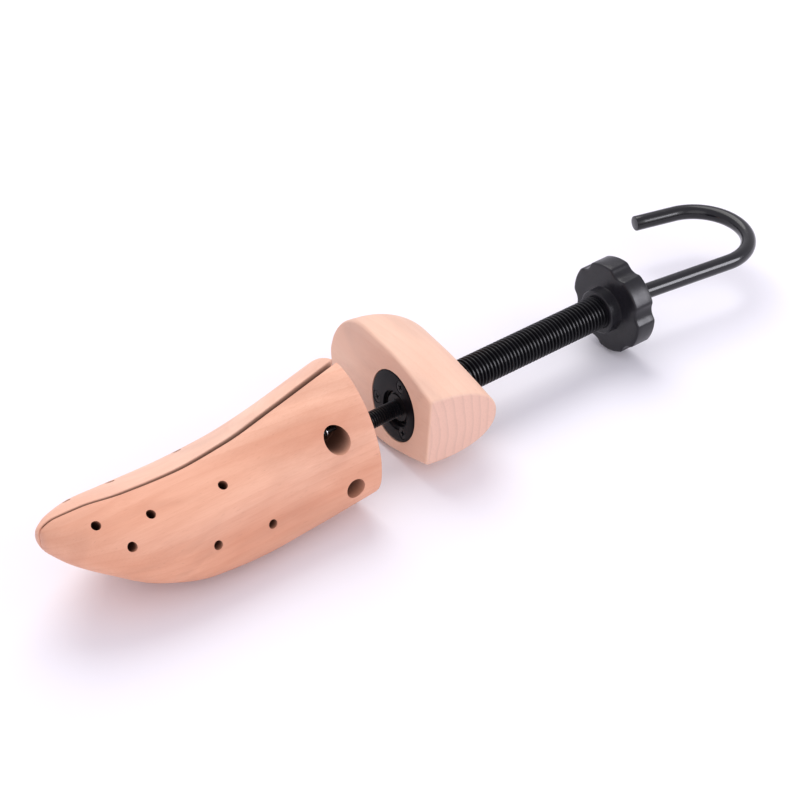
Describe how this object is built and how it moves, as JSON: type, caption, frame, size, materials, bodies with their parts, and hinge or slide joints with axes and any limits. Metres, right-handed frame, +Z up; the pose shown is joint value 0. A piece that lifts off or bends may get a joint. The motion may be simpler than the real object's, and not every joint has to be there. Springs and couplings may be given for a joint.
{
  "type": "shoe stretcher",
  "caption": "Two-way wooden shoe stretcher: split forepart spread by a hook rod and cone, heel block moved by a threaded sleeve and lobed knob.",
  "frame": {"origin": "bottom centre of the whole object's box as it lies on a table", "axes": "+X from the toe to the hook along the rod, +Y from the heel block's flat end to its rounded end, +Z up"},
  "size_m": [0.4108, 0.0844, 0.0626],
  "materials": {
    "wood": "sanded beech, unfinished",
    "black_plastic": "moulded, satin",
    "black_steel": "gloss black",
    "bright_steel": "zinc plated"
  },
  "bodies": {
    "forepart_core": {"trunnion_nut": "bright_steel", "hinge_pin": "bright_steel", "return_spring": "bright_steel"},
    "half_near": {"forepart_near": "wood", "wear_plate_near": "bright_steel", "plate_screws_near": "bright_steel", "hinge_leaf_near": "bright_steel", "hinge_screws_near": "bright_steel", "spring_pin_near": "bright_steel"},
    "half_far": {"forepart_far": "wood", "wear_plate_far": "bright_steel", "plate_screws_far": "bright_steel", "hinge_leaf_far": "bright_steel", "hinge_screws_far": "bright_steel", "spring_pin_far": "bright_steel"},
    "wedge": {"spreader_cone": "bright_steel"},
    "rod": {"hook_rod": "black_steel", "retaining_washer": "bright_steel"},
    "sleeve": {"threaded_sleeve": "black_plastic", "knob": "black_plastic"},
    "washer": {"thrust_washer": "black_steel"},
    "heel": {"heel_block": "wood", "flange_nut": "black_plastic", "flange_screws": "black_steel"}
  },
  "joints": [
    {"name": "wedge_slide", "type": "slide", "parent": "forepart_core", "child": "wedge", "axis": [-1, 0, 0], "range_m": [-0.0025, 0.015]},
    {"name": "near_swing", "type": "hinge", "parent": "forepart_core", "child": "half_near", "pos_m": [-0.19735, -0.00866, 0.03923], "axis": [0, -0.0958, -0.9954], "range_deg": [-0.5, 3]},
    {"name": "far_swing", "type": "hinge", "parent": "forepart_core", "child": "half_far", "pos_m": [-0.19735, -0.00866, 0.03923], "axis": [0, 0.0958, 0.9954], "range_deg": [-0.5, 3]},
    {"name": "hook_spin", "type": "hinge", "parent": "wedge", "child": "rod", "pos_m": [-0.02535, -0.0101, 0.0243], "axis": [-1, 0, 0], "range_deg": [-720, 4320]},
    {"name": "heel_roll", "type": "hinge", "parent": "wedge", "child": "washer", "pos_m": [-0.02535, -0.0101, 0.0243], "axis": [1, 0, 0], "continuous": true},
    {"name": "heel_slide", "type": "slide", "parent": "washer", "child": "heel", "axis": [1, 0, 0], "range_m": [0, 0.07]},
    {"name": "knob_spin", "type": "hinge", "parent": "wedge", "child": "sleeve", "pos_m": [-0.02535, -0.0101, 0.0243], "axis": [-1, 0, 0], "range_deg": [0, 12600]}
  ],
  "couplings": [
    {"joint": "near_swing", "follows": "wedge_slide", "rad_per_m": 3.4907},
    {"joint": "far_swing", "follows": "wedge_slide", "rad_per_m": 3.4907},
    {"joint": "hook_spin", "follows": "wedge_slide", "rad_per_m": 5026.5},
    {"joint": "knob_spin", "follows": "heel_slide", "rad_per_m": 3141.6}
  ]
}
